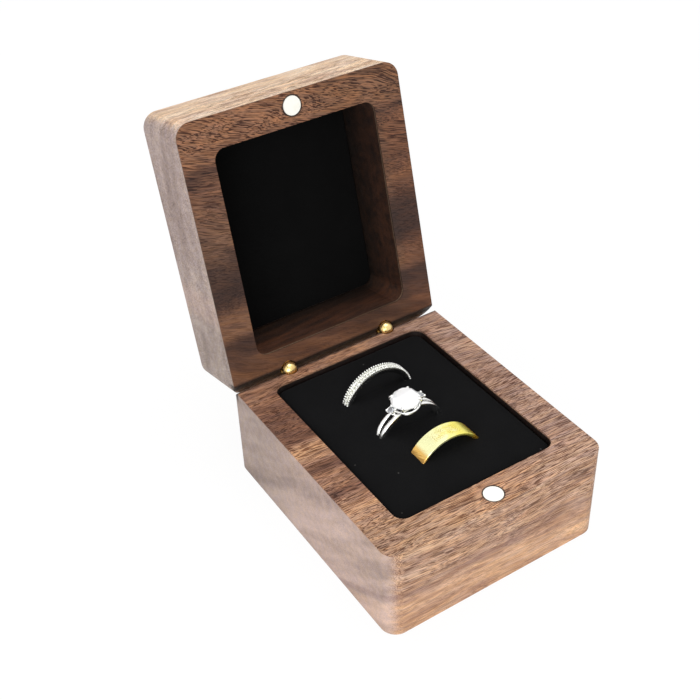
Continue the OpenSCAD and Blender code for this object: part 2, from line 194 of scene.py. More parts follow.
def walnut(name, turn, shift, side, floor, seed, rim_line, outer, end, rim, hollow, bite, slant, even, tilt):
    """Solid walnut: a figure of streaks along x that bend round the growth rings, blotches where
    the fibres rise and dip, and fine dark pores along x. On the ends the rings show as soft
    bands. The outside, its ends, the rims and the hollow differ in tone; the hollow's dark
    palette is painted shade, and so is the dark strip by the hinge.

    side is 1 or -1 for a rim that looks down or up, and floor is how deep the hollow is.
    rim_line is the streaks' brightness from front to back. bite is how strongly the pores show
    on the outside, the ends, the rims (and how much more at the back) and in the hollow.
    slant is the bands' slope on the ends, even is how far the streaks give way at the front
    right, and tilt is the grain's slope on the rims."""
    f = Finish(name)
    x, y, z = f.place(shift, turn)
    depth = z * side
    drift = f.noise(x / 70 + seed, y / 26, depth / 26, 2.0, 0.5, "Color")
    wander = f.noise(x / 24, y / 5 + seed, depth / 5, 1.0, 0.5, "Color")
    _, drift_y, drift_z = f.split(drift)
    _, wander_y, wander_z = f.split(wander)
    top = f.below(depth, 0.15, 0.6)
    across = y + x * (0.05 + top * (tilt - 0.05)) + (drift_y - 0.5) * 11 + (wander_y - 0.5) * 1.8
    down = depth - x * 0.05 + (drift_z - 0.5) * 9 + (wander_z - 0.5) * 1.8
    ring = ((across - 8) ** 2.0 + (down - 90) ** 2.0) ** 0.5
    figure = f.noise(x / 75 + seed, ring / 5.5, across / 34, 3.0, 0.5)
    lines = f.noise(x / 40, ring / 0.9, across / 14, 2.0, 0.5)
    blotch = f.noise(x / 10 + seed, across / 2.0, down / 2.0, 2.0, 0.5)
    crowd = f.noise(x / 13, across / 2.6 + seed, down / 2.6, 2.0, 0.5)
    fibre = f.noise(x / 4.0, across / 0.16, down / 0.16, 1.0, 0.5)
    long_fibre = f.noise(x / 9.0, across / 0.28 + 9, down / 0.28, 1.0, 0.5)
    warmth = f.noise(x / 7 + seed, across / 1.3, down / 1.3 + 5, 2.0, 0.6)
    band = depth - (y - front_y) * slant + (drift_y - 0.5) * 5 + (wander_z - 0.5) * 0.8
    bands = f.noise(band / 8.5 + seed, y / 40, x / 60, 3.0, 0.5)
    pore = f.between(fibre + (crowd - 0.5) * 0.24, 0.50, 0.57)
    pale = f.between(1 - long_fibre, 0.47, 0.60)

    # where it is: the ends, the hollow's walls, and the broken edge round the hollow
    wide = abs(x)
    endwise = f.between(wide, 28.2, 30.6) * (1 - top)
    middle = f.below(wide, 25.0, 26.0) * f.below(abs(y + 0.2), 30.3, 31.0)
    lip = middle * f.between(depth, 0.02, 0.10)
    inside = middle * f.between(depth, 0.2, 0.8) * f.below(depth, floor + 0.5, floor + 1.5)

    tone = f.between(figure * 0.4 + blotch * 0.6 + (lines - 0.5) * 0.3, 0.25, 0.75)
    end_tone = f.between(bands * 0.8 + blotch * 0.2, 0.25, 0.75)
    from_front = (y + (wander_y - 0.5) * 2 + x * 0.03 + 40) / 80
    along = f.node("RGBToBW", None, f.node("ValToRGB", {"stops": rim_line}, from_front))
    left = 1 - f.between(x, -22, 4) * f.between(y, -27, -22) * even
    rim_tone = f.between(figure * 0.25 + blotch * 0.25 + (along * left + 0.55 * (1 - left)) * 0.5
                         + (lines - 0.5) * 0.3, 0.22, 0.72)
    colour = f.node("ValToRGB", {"stops": outer}, tone)
    # the ends, the rims and the hollow, whose dark palette is painted shade
    for share, stops, level in ((endwise, end, end_tone), (top, rim, rim_tone), (inside, hollow, tone)):
        colour = f.mix(share, colour, f.node("ValToRGB", {"stops": stops}, level))
    colour = f.mix(f.between(warmth, 0.35, 0.65), f.mix(1.0, colour, (0.96, 0.97, 1.06), "MULTIPLY"),
                   f.mix(1 - endwise * 0.7, colour, (1.05, 1.0, 0.92), "MULTIPLY"))
    shown = bite[0] * (1 - f.between(depth, 9, 16) * 0.5)
    for share, strength in ((endwise, bite[1]), (top, bite[2] + bite[3] * (y - front_y) / 60), (inside, bite[4])):
        shown = shown + (strength - shown) * share
    colour = f.mix(pale * shown * 0.7, colour, (1.55, 1.48, 1.40), "MULTIPLY")
    colour = f.mix(pore * shown, colour, (0.26, 0.19, 0.16), "MULTIPLY")
    glue = f.below((x ** 2.0 + (y - magnet_y) ** 2.0) ** 0.5, 2.62, 2.86)
    colour = f.mix(glue * top * 0.85, colour, rgb(28, 20, 16))
    # painted shade: a dark strip on the broken edges by the hinge, where little light gets in
    crease = f.between(y, 31.3, 32.3) * f.below(depth, 1.0, 3.5)
    colour = f.mix(crease * 0.9, colour, rgb(24, 15, 11))
    bump = f.node("Bump", None, Strength=0.4, Distance=0.00008, Height=long_fibre * 0.4 - pore)
    return f, colour, bump, SimpleNamespace(x=x, y=y, depth=depth, pore=pore, endwise=endwise, top=top,
                                            inside=inside, lip=lip, blotch=blotch)


def oiled(f, colour, bump, pore, tints):
    """The finished wood, with each of the tints laid over its own share of the block."""
    for share, factors in tints:
        colour = f.mix(share, colour, factors, "MULTIPLY")
    return f.done(Base_Color=colour, Roughness=0.52 + pore * 0.2, Normal=bump, Specular_IOR_Level=0.35)


def soften(obj, width, angle=35):
    """Joins a CAD node's loose triangles and rounds its edges."""
    weld = obj.modifiers.new("join", "WELD")
    weld.merge_threshold = 2e-6
    bevel = obj.modifiers.new("edges", "BEVEL")
    bevel.width, bevel.segments, bevel.angle_limit = width * MM, 3, math.radians(angle)
    bevel.harden_normals = True


def dress(obj, material):
    """Gives a CAD node its material."""
    obj.data.materials.clear()
    obj.data.materials.append(material)


f, colour, bump, at = walnut(
    "walnut_base", turn=(0, 0, 0), shift=(0, 0, -rim_z), side=-1.0, floor=19.5, seed=0.0,
    rim_line=greys((0.0, 0.75), (0.22, 0.7), (0.30, 0.55), (0.33, 0.3), (0.37, 0.6), (0.42, 0.5), (0.45, 0.2),
                   (0.49, 0.5), (0.52, 0.75), (0.56, 0.75), (0.58, 0.35), (0.66, 0.3), (0.74, 0.3), (0.88, 0.4)),
    outer=[(0.0, rgb(160, 122, 98)), (0.35, rgb(186, 147, 117)), (0.7, rgb(202, 164, 132)), (1.0, rgb(218, 180, 145))],
    end=[(0.0, rgb(150, 131, 122)), (0.4, rgb(184, 160, 147)), (0.75, rgb(204, 179, 166)), (1.0, rgb(216, 190, 176))],
    rim=[(0.0, rgb(92, 62, 50)), (0.35, rgb(132, 94, 74)), (0.7, rgb(176, 134, 106)), (1.0, rgb(204, 160, 124))],
    # painted shade: the hollow's dark palette
    hollow=[(0.0, rgb(40, 23, 17)), (1.0, rgb(74, 46, 33))],
    bite=(0.9, 0.2, 1.05, -0.1, 0.4), slant=0.62, even=1.0, tilt=0.05)
# a dark streak that runs up the ends and across the front, with a paler band beside it
seam = (at.depth - (at.y - front_y) * 0.62 - 14.9 - f.sine(at.x / 4.5) * 0.45
        + f.below(at.x, -28, -18) * 1.2 - (at.blotch - 0.5) * 1.2)
streak = f.below(abs(seam), 0.5, 1.5) * 0.8 + f.below(abs(seam + 2.0), 0.5, 3.0) * 0.25
outside = (1 - at.top) * (1 - at.inside)
dress(cad["base_body"], oiled(f, colour, bump, at.pore, (
    (f.between(seam, 0.8, 2.2) * outside * 0.7, (1.12, 1.07, 1.0)),
    (f.below(seam, -3.0, 0.0) * (1 - at.endwise) * outside * 0.6, (0.90, 0.90, 0.92)),
    (streak * outside * (1 - at.endwise * 0.45) * (1 - f.between(at.x, 5, 25) * 0.4), (0.62, 0.56, 0.60)),
    (at.endwise * f.between(at.y, -10, 26), (0.71, 0.74, 0.75)),
    (at.endwise * f.below(at.y, -34, -8), (1.07, 1.06, 1.04)),
    (at.top * f.between(at.x, 4, 20), (1.03, 1.18, 1.42)),
    (at.top * f.below(at.x, -16, 0) * f.below(at.y, -30, -14), (0.88, 0.94, 1.0)),
    (outside * (1 - at.endwise), (1.02, 1.06, 1.12)),
    # painted shade: the hollow's walls made much darker
    (at.inside, (0.16, 0.14, 0.14)))))
soften(cad["base_body"], 0.35)

# ---------------------------------------------------------------------------
# The lid: a second walnut block from the same board, shallower, and turned
# over onto the base. It is a little darker, most of all on its rims, partly in its own tone
# and partly as painted shade, and the face that is its top edge when open is painted paler,
# as painted light.
open_turn = math.radians(104.2)
pin = np.array((0.0, 33.18, rim_z))


def shut(points):
    """Points of the open lid, in millimetres, as they lie when the lid is shut."""
    c, s = math.cos(open_turn), math.sin(open_turn)
    return (np.asarray(points) - pin) @ np.array(((1, 0, 0), (0, c, s), (0, -s, c))) + pin


def opened(points):
    """Points under a rim at z = 0, turned over onto the base and back about the pins."""
    c, s = math.cos(open_turn), -math.sin(open_turn)
    over = np.asarray(points) * (1, 1, -1) - (0, pin[1], 0)
    return over @ np.array(((1, 0, 0), (0, c, s), (0, -s, c))) + pin


lid_shift = shut(np.zeros(3)) - (0, 0, rim_z)
f, colour, bump, at = walnut(
    "walnut_lid", turn=(open_turn, 0, 0), shift=tuple(lid_shift.tolist()), side=1.0, floor=17.2, seed=7.3,
    rim_line=greys((0.0, 0.8), (0.10, 1.0), (0.17, 0.7), (0.20, 0.3), (0.25, 0.65), (0.36, 0.5), (0.42, 0.75),
                   (0.50, 0.15), (0.60, 0.0), (0.66, 0.55), (0.72, 0.65), (0.76, 0.1), (0.86, 0.4), (0.95, 0.6)),
    # painted light: the outside palette is pale for the face that is the lid's top edge when open
    outer=[(0.0, rgb(184, 148, 122)), (0.35, rgb(222, 190, 160)), (0.7, rgb(242, 216, 186)), (1.0, rgb(248, 228, 202))],
    end=[(0.0, rgb(132, 112, 104)), (0.35, rgb(164, 146, 138)), (0.7, rgb(184, 166, 158)), (1.0, rgb(196, 178, 166))],
    # the rims: darker partly in the wood's own tone and partly as painted shade
    rim=[(0.0, rgb(56, 35, 27)), (0.35, rgb(84, 56, 42)), (0.7, rgb(112, 78, 58)), (1.0, rgb(134, 95, 69))],
    # painted shade: the hollow's dark palette
    hollow=[(0.0, rgb(30, 20, 16)), (1.0, rgb(72, 45, 31))],
    bite=(0.8, 0.7, 1.25, -0.85, 0.2), slant=0.25, even=0.0, tilt=-0.3)
far_left = at.top * f.below(at.x, -24, -20)
# painted light: every outside face but the lid's top edge is dimmed back from the pale palette
not_front = f.between(at.y, -35.6, -34.2) * (1 - at.top) * (1 - at.endwise) * (1 - at.inside)
dress(cad["lid_body"], oiled(f, colour, bump, at.pore, (
    # painted shade in the hollow: walls darker where they face down, darker deeper in, and darker on the rounded lip;
    # painted light on the wall by the hinge, which faces up
    (at.inside * f.below(at.y, -20, 12) * 0.5, (0.5, 0.5, 0.55)),
    (at.inside * f.between(at.depth, 4, 17), (0.30, 0.36, 0.36)),
    (at.lip * f.below(at.depth, 0.4, 0.9), (0.42, 0.40, 0.38)),
    (at.inside * f.between(at.y, 22, 27), (1.7, 1.6, 1.5)),
    (at.endwise * f.between(at.y, -12, 30), (0.80, 0.82, 0.80)),
    (at.top * f.between(at.x, 3, 9), (0.80, 0.79, 0.75)),
    (at.top * f.between(at.x, 23, 26) * f.between(at.y, -28, -22), (1.14, 1.04, 0.98)),
    (far_left * f.between(at.y, -14, -6), (0.90, 0.92, 0.92)),
    (far_left * f.below(abs(at.y + 6), 6, 13), (0.84, 0.88, 0.92)),
    (at.top * f.between(at.y, 25, 29), (1.16, 1.10, 0.94)),
    (at.endwise * (1 - at.inside) * f.below(abs(at.y - 12), 2, 6), (1.12, 1.06, 1.04)),
    (at.pore * at.top * f.below(at.y, -28, -20), (0.68, 0.63, 0.60)),
    (not_front, (0.74, 0.69, 0.66)))))
soften(cad["lid_body"], 0.25)

# ---------------------------------------------------------------------------
# The pad: a card and a foam block under one piece of black cotton velvet that
# is glued round the block's sides. Three slits take the rings.


def patch(grid, wrap_u=False, wrap_v=False):
    """Points and faces of a surface given as a grid of points, closed on itself where it wraps."""
    nu, nv = grid.shape[:2]
    index = np.arange(nu * nv).reshape(nu, nv)
    if wrap_u:
        index = np.vstack((index, index[:1]))
    if wrap_v:
        index = np.hstack((index, index[:, :1]))
    faces = np.stack((index[:-1, :-1], index[1:, :-1], index[1:, 1:], index[:-1, 1:]), -1).reshape(-1, 4)
    return grid.reshape(-1, 3), faces.tolist()


def piece(name, parts, material, body, stands_for, crease=40):
    """One piece from its parts, given in millimetres, with its faces turned outwards. Edges sharper
    than crease stay sharp; at 180 none does."""
    points, faces, start = [], [], 0
    for part_points, part_faces in parts:
        points.append(part_points)
        faces += [[i + start for i in face] for face in part_faces]
        start += len(part_points)
    mesh = bpy.data.meshes.new(name)
    mesh.from_pydata((np.concatenate(points) * MM).tolist(), [], faces)
    shell = bmesh.new()
    shell.from_mesh(mesh)
    bmesh.ops.recalc_face_normals(shell, faces=shell.faces)
    shell.to_mesh(mesh)
    shell.free()
    mesh.shade_smooth()
    if crease < 180:
        mesh.set_sharp_from_angle(angle=math.radians(crease))
    mesh.materials.append(material)
    obj = bpy.data.objects.new(name, mesh)
    scene.collection.objects.link(obj)
    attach(obj, body)
    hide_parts(*stands_for)
    return obj


def eased(share):
    """A share held within 0 to 1 and eased at both ends."""
    share = np.clip(share, 0, 1)
    return share * share * (3 - 2 * share)


def covered_board(width, depth, height, corner, edge, steps, bow):
    """A board wrapped in cloth, its top at z = 0. The grid runs out from the board's core
    rectangle by the corner's radius, round the top edge, and straight down the sides, so a
    point's way out is the larger of its two overshoots and its bearing is their direction. The
    top falls towards its borders by bow, with the fourth power of the way out. Returns the grid,
    and how much each point lies on the top, from 0 to 1."""
    flat, turned = corner - edge, corner - edge + edge * math.pi / 2
    foot = turned + height - edge
    side = turned + np.array((0.6, 1.6, 3.2, 5.4, 8.0, 11.0, 14.0, 40.0))
    side = side[side < foot - 0.1]
    rim = np.linspace(0, flat, 7)[1:]
    roll = flat + np.linspace(0, edge * math.pi / 2, 7)[1:]
    out = np.concatenate((rim, roll, side, [foot]))
    half_w, half_d = width / 2 - corner, depth / 2 - corner
    u = np.concatenate((-half_w - out[::-1], np.linspace(-half_w, half_w, steps[0]), half_w + out))
    v = np.concatenate((-half_d - out[::-1], np.linspace(-half_d, half_d, steps[1]), half_d + out))
    u, v = np.meshgrid(u, v, indexing="ij")
    core = np.stack((np.clip(u, -half_w, half_w), np.clip(v, -half_d, half_d)), -1)
    over = np.stack((u, v), -1) - core
    way = np.abs(over).max(-1)
    bearing = over / np.maximum(np.hypot(over[..., 0], over[..., 1]), 1e-9)[..., None]
    angle = np.clip((way - flat) / edge, 0, math.pi / 2)
    reach = np.minimum(way, flat) + edge * np.sin(angle)
    fall = edge * (1 - np.cos(angle)) + np.maximum(way - flat - edge * math.pi / 2, 0)
    place = core + bearing * reach[..., None]
    level = -fall - bow * ((place[..., 0] / (width / 2)) ** 4 + (place[..., 1] / (depth / 2)) ** 4) / 2
    return np.dstack((place, level)), np.where(way <= flat + 1e-6, 1.0, np.cos(angle))


def closed_below(grid):
    """A grid's faces, with one flat face across its open border."""
    points, faces = patch(grid)
    nu, nv = grid.shape[:2]
    index = np.arange(nu * nv).reshape(nu, nv)
    border = np.concatenate((index[:-1, 0], index[-1, :-1], index[:0:-1, -1], index[0, :0:-1]))
    return points, faces + [border[::-1].tolist()]


def velvet(name, colour, sheen, specks, turn=(0, 0, 0)):
    """Short cut pile: brushed patches, single fibres, and a few specks of lint."""
    f = Finish(name)
    x, y, z = f.place(turn=turn)
    brushed = f.noise(x / 9, y / 9, z / 9, 3.0, 0.6)
    pile = f.noise(x / 0.22, y / 0.22, z / 0.22, 2.0, 0.7)
    cell = f.node("CombineXYZ", None, x / 3.3, y / 3.3, z / 3.3)
    spot = f.node("TexVoronoi", None, Vector=cell, Scale=1.0)
    chance, _, _ = f.split(f.node("TexVoronoi", None, Vector=cell, Scale=1.0, out="Color"))
    lint = f.below(spot, 0.04, 0.08) * f.between(chance, 0.76, 0.78) * specks
    shade = f.mix(brushed * 0.5 + pile * 0.5, [c * 0.45 for c in colour], [c * 1.7 for c in colour])
    shade = f.mix(lint * 0.5, shade, rgb(120, 118, 116))
    bump = f.node("Bump", None, Strength=0.5, Distance=0.00012, Height=pile + brushed * 0.6)
    return f.done(Base_Color=shade, Roughness=0.9 + pile * 0.1, Normal=bump, Specular_IOR_Level=0.05,
                  Sheen_Weight=sheen, Sheen_Roughness=0.55)


pad_middle = np.array((0.0, 0.3, 25.3))
grid, top = covered_board(width=44.96, depth=56.26, height=17.0, corner=3.0, edge=1.3, steps=(127, 165), bow=0.25)
px, py = grid[..., 0], grid[..., 1] + pad_middle[1]
slit_depth, slit_reach, foot_depth, foot_reach = 0.15, 0.35, 0.15, 0.55
# each slit: its middle in x and y, half its length, half the ring's width, half the ring's chord
# and half its thickness where it goes in, and how far the foam swells at its left foot
slits = (
    (-0.4, 14.1, 10.4, 1.15, 8.8, 0.9, 0.0),
    (-1.3, -1.2, 10.2, 1.0, 8.5, 1.0, 0.95),
    (1.5, -12.3, 8.8, 2.35, 7.5, 0.8, 0.25))
for mid_x, mid_y, half_length, half_width, foot, thick, swell in slits:
    ends = eased((half_length - np.abs(px - mid_x)) / 1.6)
    grid[..., 2] -= top * ends * slit_depth * np.exp(-np.abs(py - mid_y) / slit_reach)
    for foot_side in (-1, 1):
        far = np.hypot(np.maximum(np.abs(px - mid_x - foot_side * foot) - thick * 0.6, 0),
                       np.maximum(np.abs(py - mid_y) - half_width * 0.8, 0))
        grid[..., 2] -= top * foot_depth * np.exp(-(far / foot_reach) ** 2)
    grid[..., 2] += top * swell * np.exp(-(((px - mid_x + foot) / 2.4) ** 2 + ((py - mid_y) / 2.6) ** 2))
grid[..., 2] += top * 0.10 * np.sin(px * 0.23 + 1.0) * np.sin(py * 0.19)
grid += pad_middle
pad = piece("velvet_pad", [closed_below(grid)], velvet("black_velvet", rgb(17, 17, 18), sheen=0.02, specks=0.6),
            "base", ("pad_velvet", "pad_foam"), 180)

f = Finish("grey_card")
x, y, z = f.place()
pulp = f.noise(x / 0.8, y / 0.8, z / 0.2, 4.0, 0.7)
dress(cad["pad_card"], f.done(Base_Color=f.mix(pulp, rgb(112, 106, 96), rgb(158, 150, 138)), Roughness=0.85,
                              Normal=f.node("Bump", None, Strength=0.3, Distance=0.0001, Height=pulp)))

# ---------------------------------------------------------------------------
# The lid's lining: a card wrapped in the same velvet and glued on the floor
# of the hollow, with a hair's breadth of wood showing round it.
grid, top = covered_board(width=44.8, depth=54.4, height=1.2, corner=3.0, edge=0.45, steps=(60, 72), bow=0.0)
grid[..., 2] += top * 0.05 * np.sin(grid[..., 0] * 0.31) * np.sin(grid[..., 1] * 0.27)
lining_y, lining_top = -0.75, 16.0
grid += (0, lining_y, -lining_top)
points, faces = closed_below(grid)
# painted shade: the lining's velvet is coloured darker than the pad's, though it is the same cloth
lining = piece("velvet_lining", [(opened(points), faces)],
               velvet("black_velvet_lining", rgb(11, 11, 11), sheen=0.01, specks=0.0, turn=(open_turn, 0, 0)),
               "lid", ("lining_velvet", "lining_card"), 180)

# ---------------------------------------------------------------------------
# The magnets: nickel plated discs, pressed and glued just below each rim,
# with a dark line of glue round them.


def metal(name, colour, rough, scratch, stretch, tint, worn=0.3, metallic=1.0, painted_shade=None):
    """Polished metal with fine scratches, faint clouds of tarnish and a slightly rippled surface.
    stretch is the scratches' size each way. The last argument gives the share by which a place is
    painted dark, as painted shade."""
    f = Finish(name)
    x, y, z = f.place()
    marks = f.noise(x / stretch[0], y / stretch[1], z / stretch[2], 3.0, 0.7)
    cloud = f.noise(x / 2.2, y / 2.2, z / 2.2, 3.0, 0.6)
    shade = f.mix(f.between(cloud, 0.45, 0.75) * worn, colour, tint)
    if painted_shade:
        # painted shade: a dark olive grey laid where the last argument gives its share
        shade = f.mix(painted_shade(f, x, y, z), shade, rgb(66, 66, 54))
    bump = f.node("Bump", None, Strength=scratch, Distance=0.00003, Height=marks + cloud * 0.5)
    return f.done(Base_Color=shade, Metallic=metallic, Roughness=rough + marks * 0.12, Normal=bump)


nickel = metal("bright_nickel", rgb(255, 254, 246), rough=0.30, scratch=0.15, stretch=(1.2, 0.1, 0.1),
               tint=rgb(240, 234, 214), worn=0.25, metallic=0.6)
for name in ("base_magnet", "lid_magnet"):
    dress(cad[name], nickel)
    soften(cad[name], 0.18)

# ---------------------------------------------------------------------------
# The hinges: turned brass barrels glued into the rims, with a ball at each
# end that is slotted, one to a fork and the other to a tongue, and a pin.
brass = metal("turned_brass", rgb(248, 220, 150), rough=0.16, scratch=0.4, stretch=(0.6, 0.6, 0.08),
              tint=rgb(196, 150, 76), worn=0.5)
pin_brass = metal("pin_brass", rgb(204, 160, 74), rough=0.25, scratch=0.4, stretch=(0.3, 0.08, 0.08),
                  tint=rgb(110, 72, 30), worn=0.7)
for hand in ("left", "right"):
    for name in ("base_barrel_", "lid_barrel_"):
        dress(cad[name + hand], brass)
        soften(cad[name + hand], 0.08, 40)
    dress(cad["hinge_pin_" + hand], pin_brass)
    soften(cad["hinge_pin_" + hand], 0.06)

# ---------------------------------------------------------------------------
# The stone-set band: a silver ring with a channel over its upper half, two
# rows of small brilliants in it, and beads raised between them to hold them.


def swept(angles, radius, y):
    """The grid that a profile of radii and places along y leaves on its way round the y axis."""
    a = angles[:, None]
    return np.stack((radius * np.sin(a), y + 0 * a, radius * np.cos(a)), -1)


def shifted(part, by):
    """A part moved, unturned, by a distance along x, y and z."""
    return part[0] + by, part[1]


def copies(part, turns, shifts):
    """One part repeated: each copy is turned by its matrix and then shifted."""
    points, faces = part
    n = len(points)
    placed = np.einsum("kij,nj->kni", turns, points) + shifts[:, None, :]
    return placed.reshape(-1, 3), [[i + k * n for i in face] for k in range(len(turns)) for face in faces]


def about_y(angle):
    """Turning matrices about the y axis that take z towards x."""
    c, s, o = np.cos(angle), np.sin(angle), np.zeros_like(angle)
    return np.stack((np.stack((c, o, s), -1), np.stack((o, o + 1, o), -1), np.stack((-s, o, c), -1)), -2)


def brilliant(radius, crown, pavilion, table, girdle):
    """A round brilliant with its girdle about z = 0. Each crown kite lies in the plane of a table
    corner and a girdle point, and each pavilion kite in that of the culet and a girdle point."""
    k = np.arange(8) * math.pi / 4
    h = k + math.pi / 8
    c = math.cos(math.pi / 8)
    mid, low = (table + radius) / 2 * 1.03, radius * 0.24

    def ring(r, a, z):
        return np.stack((r * np.cos(a), r * np.sin(a), np.full(8, z)), -1)

    top = girdle / 2 + crown
    parts = [ring(table, k, top), ring(mid, h, top - (mid * c - table) * crown / (radius - table)),
             ring(radius, k, girdle / 2), ring(radius, h, girdle / 2),
             ring(radius, k, -girdle / 2), ring(radius, h, -girdle / 2),
             ring(low, h, -girdle / 2 - pavilion * (1 - low * c / radius)),
             np.array([[0, 0, -girdle / 2 - pavilion]])]
    # rows of corners: table, crown, upper girdle twice, lower girdle twice, pavilion; 56 is the culet
    T, M, G, H, g, q, L = (np.arange(8) + 8 * i for i in range(7))
    n, p = np.roll(np.arange(8), -1), np.roll(np.arange(8), 1)
    faces = [T.tolist()]
    for row in ((T, T[n], M), (M, G, H), (M, H, G[n]), (T, M[p], G, M), (G, g, q, H), (H, q, g[n], G[n]),
                (L, q, g), (L, g[n], q), (np.full(8, 56), L[p], g, L)):
        faces += np.stack(row, -1).tolist()
    return np.concatenate(parts), faces


def ball(radius, rows, around):
    """A small sphere as rows of points between two poles."""
    a = np.linspace(0, math.pi, rows + 1)[1:-1, None]
    b = np.linspace(0, 2 * math.pi, around, endpoint=False)[None, :]
    grid = radius * np.stack((np.sin(a) * np.cos(b), np.sin(a) * np.sin(b), np.cos(a) + 0 * b), -1)
    points, faces = patch(grid, False, True)
    n = len(points)
    edge = np.arange(around)
    faces += np.stack((np.full(around, n), edge, np.roll(edge, -1)), -1).tolist()
    faces += np.stack((np.full(around, n + 1), np.roll(edge, -1) + n - around, edge + n - around), -1).tolist()
    return np.vstack((points, [[0, 0, radius], [0, 0, -radius]])), faces


def stone_finish(name, colour, rough, clear, painted_glow, dark_below=-100.0):
    """Clear cut stone: bright, hard facets that differ a little in tone, as painted reflections, and a
    painted glow that stands in for the light that comes back out of the stone. It is painted grey
    below dark_below, as shade."""
    f = Finish(name)
    x, y, z = f.place()
    painted_fire = f.noise(x / 0.7, y / 0.7, z / 0.7, 2.0, 0.6)
    shade = f.mix(f.between(painted_fire, 0.35, 0.7), colour, [min(1.0, c * 1.25) for c in colour])
    # painted shade: grey below dark_below
    shade = f.mix(f.between(z * 0.996 - x * 0.087, dark_below - 0.3, dark_below), rgb(70, 74, 80), shade)
    bump = f.node("Bump", None, Strength=0.05, Distance=0.00002, Height=painted_fire)
    # painted glow: the emission, though the stone is no lamp
    return f.done(Base_Color=shade, Roughness=rough + painted_fire * 0.03, Normal=bump, IOR=2.2, Transmission_Weight=clear,
                  Specular_IOR_Level=0.8, Emission_Color=shade, Emission_Strength=painted_glow)


silver_look = dict(colour=rgb(252, 252, 250), rough=0.14, scratch=0.12, stretch=(0.9, 0.5, 0.9),
                   tint=rgb(200, 202, 196))
bright = metal("burnished_silver", rgb(255, 255, 252), rough=0.16, scratch=0.12, stretch=(0.9, 0.5, 0.9),
               tint=rgb(226, 228, 224), metallic=0.45)
band_x, band_y, band_z = -0.4, 14.1, 22.4


def channel_painted_shade(f, x, y, z):
    """Painted shade on the middle of both sides, and in the channel between the stones."""
    sides = f.between(abs(y - band_y), 0.96, 1.06) * f.between(x, -5.5, 1.5) * 0.6
    radius = ((x - band_x) ** 2.0 + (z - band_z) ** 2.0) ** 0.5
    return sides + f.between(radius, 9.68, 9.78) * f.between(z, 22, 24) * 0.75


R, inner, steps = 10.0, 8.5, 240
angles = np.linspace(-math.pi, math.pi, steps, endpoint=False)
cut = eased((math.radians(92) - np.abs(angles)) / math.radians(4))
wall_y = np.array((0.77, 1.01, 1.12, 1.15, 1.15, 1.10, 1.01, 0.95, 0.92))
wall_r = np.array((inner + 0.02, inner + 0.05, inner + 0.14, inner + 0.30,
                   R - 0.46, R - 0.26, R - 0.13, R - 0.09, R - 0.11))
flat_y = np.concatenate((-wall_y, wall_y[::-1], [0.0]))
flat_r = np.concatenate((wall_r, wall_r[::-1], [inner]))
channel = np.zeros(len(flat_r))
channel[8:10] = 0.40
grid = swept(angles, flat_r - channel * cut[:, None], flat_y)

in_row, edge_beads, row_out, edge_out = 31, 47, 0.445, 0.92
pitch = math.radians(180 / in_row)
start = -(in_row - 0.5) * pitch / 2
place = start + (np.arange(in_row)[None, :] + np.array([[0.0], [0.5]])) * pitch
row_y = np.broadcast_to(np.array([[-row_out], [row_out]]), place.shape).ravel()
place = place.ravel()
up = np.stack((np.sin(place), 0 * place, np.cos(place)), -1)
small = brilliant(radius=0.38, crown=0.16, pavilion=0.28, table=0.20, girdle=0.03)
stones = copies(small, about_y(place), up * (R - 0.10) + np.stack((0 * place, row_y, 0 * place), -1))
edge_a = start + np.arange(edge_beads) * pitch * 2 / 3
bead_a = np.concatenate((edge_a, edge_a + pitch / 3, place + pitch / 2))
bead_y = np.concatenate((np.full(edge_beads, -edge_out), np.full(edge_beads, edge_out), np.zeros(2 * in_row)))
bead_up = np.stack((np.sin(bead_a), 0 * bead_a, np.cos(bead_a)), -1)
beads = copies(ball(0.24, rows=5, around=8), about_y(bead_a),
               bead_up * (R + 0.06) + np.stack((0 * bead_a, bead_y, 0 * bead_a), -1))
band_at = np.array((band_x, band_y, band_z))
piece("stone_set_band", [shifted(patch(grid, True, True), band_at)],
      metal("channel_silver", painted_shade=channel_painted_shade, **silver_look), "stone_set_ring", ("pave_band",))
piece("set_beads", [shifted(beads, band_at)], bright, "stone_set_ring", ("pave_band",))
piece("small_brilliants", [shifted(stones, band_at)],
      stone_finish("small_clear_stone", rgb(246, 248, 228), rough=0.03, clear=0.2, painted_glow=0.1), "stone_set_ring",
      ("pave_stones",), 5)

# ---------------------------------------------------------------------------
# The solitaire: a silver shank cast as a flat band that divides into two
# wires, with a gallery rail, four claws, and a cup for a small stone each side.


def silver_wire(path, radius, up, sides, closed=False, flat=1.0, square=1.0):
    """A wire along a path, set out from a fixed side direction. flat widens it, and square takes
    it from round towards a bar."""
    along = np.roll(path, -1, 0) - np.roll(path, 1, 0) if closed else np.gradient(path, axis=0)
    along /= np.linalg.norm(along, axis=1, keepdims=True)
    side = np.cross(np.broadcast_to(up, path.shape), along)
    side /= np.linalg.norm(side, axis=1, keepdims=True)
    over = np.cross(along, side)
    a = np.linspace(0, 2 * math.pi, sides, endpoint=False)
    ca, sa = (np.sign(v) * np.abs(v) ** square for v in (np.cos(a), np.sin(a)))
    radius = np.broadcast_to(np.asarray(radius, float), len(path))[:, None, None]
    section = ca[None, :, None] * side[:, None, :] * flat + sa[None, :, None] * over[:, None, :]
    points, faces = patch(path[:, None, :] + radius * section, closed, True)
    return points, faces if closed else faces + end_faces(points, sides)


def end_faces(points, sides):
    """The two flat ends of an open tube."""
    return [list(range(sides))[::-1], list(range(len(points) - sides, len(points)))]


def oval(share):
    """A sine or cosine drawn out towards 1, which squares a round section a little."""
    return np.sign(share) * np.abs(share) ** 0.75


mount_at, mount_lean = (-1.3, -1.2, 22.3), -math.radians(5.0)
